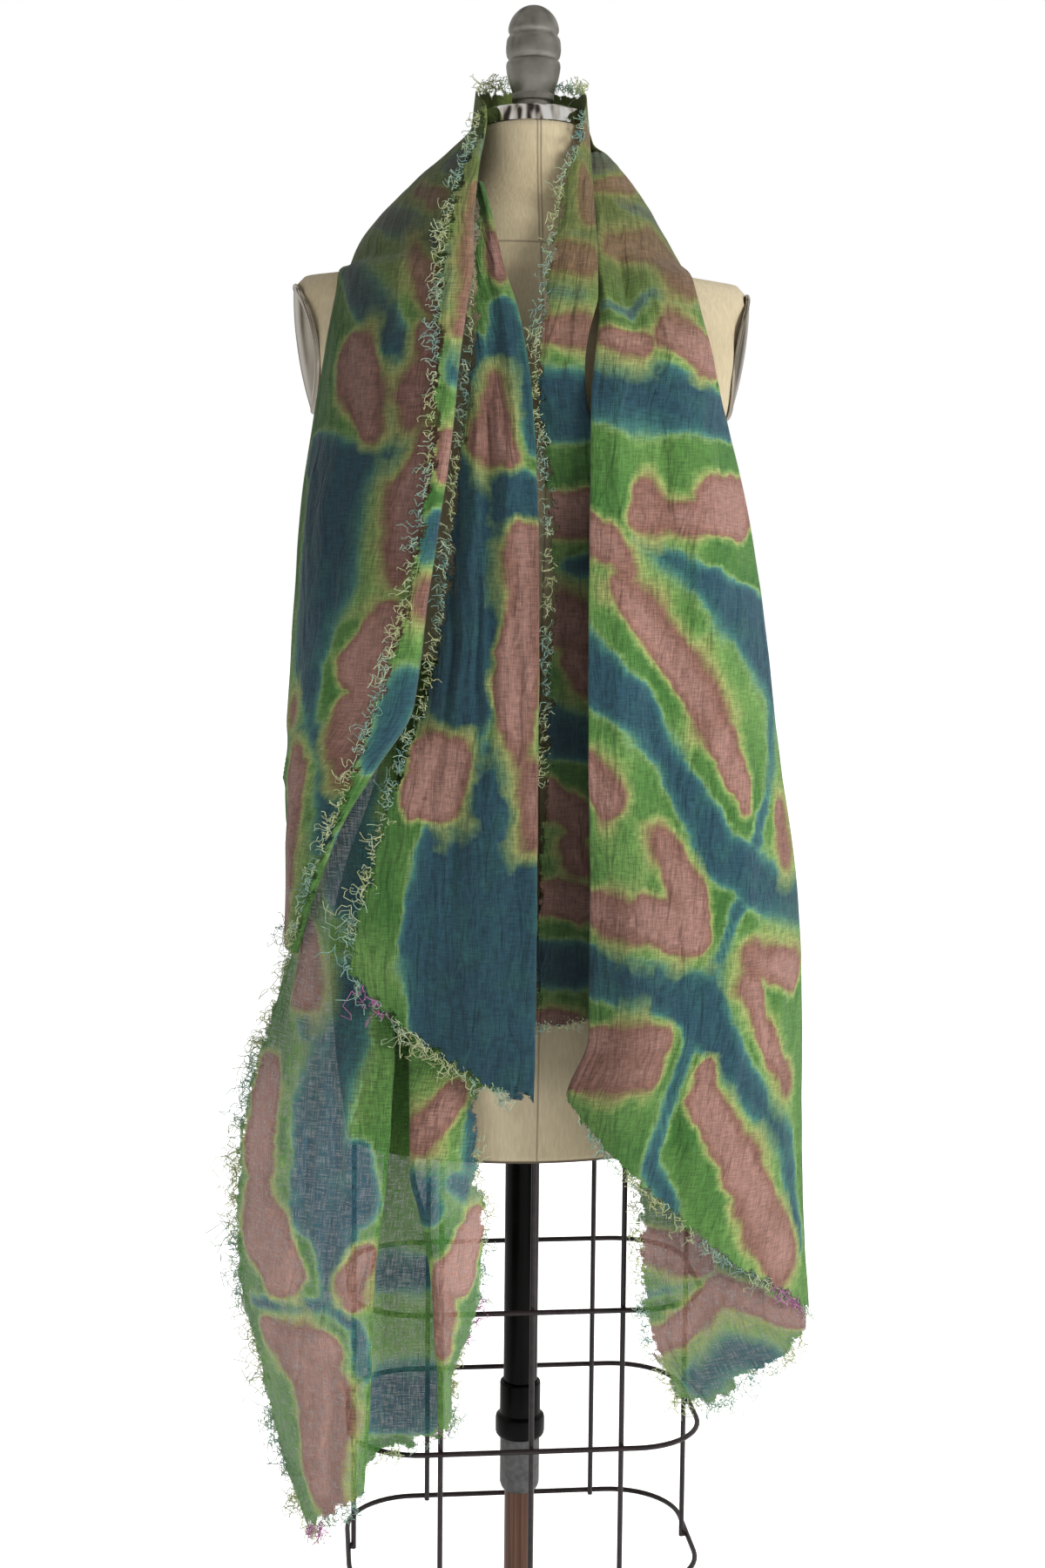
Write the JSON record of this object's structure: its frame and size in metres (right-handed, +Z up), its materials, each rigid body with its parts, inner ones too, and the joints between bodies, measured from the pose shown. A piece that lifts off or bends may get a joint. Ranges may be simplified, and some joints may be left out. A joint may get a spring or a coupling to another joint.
{
  "type": "linen shawl on a dress form",
  "caption": "Fold-dyed linen shawl with frayed edges, folded lengthwise and hung round the neck of a limbless dress form on a sliding mast with a wire cage.",
  "frame": {"origin": "under the middle of the whole object's box, on the surface that the base stands on", "axes": "+Z up the mast, the form's front faces -Y, +X to the right as seen from the front"},
  "size_m": [0.4972, 0.43, 1.6311],
  "materials": {
    "shawl_linen": "loosely woven gauzy linen, fold-dyed in navy, green and mauve, matt",
    "loose_thread": "loose curly linen thread, pale green and blue with some pink, matt",
    "form_linen": "tight cream linen over a padded body, matt",
    "pewter": "turned and brushed, satin",
    "polished_chrome": "polished",
    "black_enamel": "black enamel, semi-gloss",
    "bronzed_tube": "bronze-brown lacquered steel tube, satin",
    "grey_collar": "grey paint, satin",
    "cage_enamel": "dark brown-black enamelled wire, satin",
    "cast_iron": "black painted casting, matt"
  },
  "bodies": {
    "stand": {"base_plate": "cast_iron", "lower_tube": "bronzed_tube"},
    "form": {"mast": "black_enamel", "clamp_collar": "black_enamel", "clamp_sleeve": "grey_collar", "torso": "form_linen", "neck_cap": "polished_chrome", "finial": "pewter", "arm_plate_left": "polished_chrome", "arm_plate_right": "polished_chrome", "cage_hoop_top": "cage_enamel", "cage_hoop_middle": "cage_enamel", "cage_hoop_bottom": "cage_enamel", "cage_wire_front": "cage_enamel", "cage_wire_front_left": "cage_enamel", "cage_wire_front_right": "cage_enamel", "cage_wire_left": "cage_enamel", "cage_wire_right": "cage_enamel", "cage_wire_back_left": "cage_enamel", "cage_wire_back_right": "cage_enamel", "cage_wire_back": "cage_enamel", "shawl_back": "shawl_linen", "shawl_left_front": "shawl_linen", "shawl_left_centre": "shawl_linen", "shawl_left_lower": "shawl_linen", "shawl_right_neck": "shawl_linen", "shawl_right_front": "shawl_linen", "shawl_right_under": "shawl_linen", "fray_nape": "loose_thread", "fray_left_front": "loose_thread", "fray_left_centre": "loose_thread", "fray_left_centre_foot": "loose_thread", "fray_left_lower": "loose_thread", "fray_left_lower_end": "loose_thread", "fray_left_lower_foot": "loose_thread", "fray_left_valley_foot": "loose_thread", "fray_left_tube_foot": "loose_thread", "fray_right_neck": "loose_thread", "fray_right_neck_foot": "loose_thread", "fray_right_front_foot": "loose_thread", "fray_right_under": "loose_thread", "fray_right_under_foot": "loose_thread"}
  },
  "joints": [
    {"name": "mast_slide", "type": "slide", "parent": "stand", "child": "form", "axis": [0, 0, 1], "range_m": [-0.15, 0.15]}
  ]
}
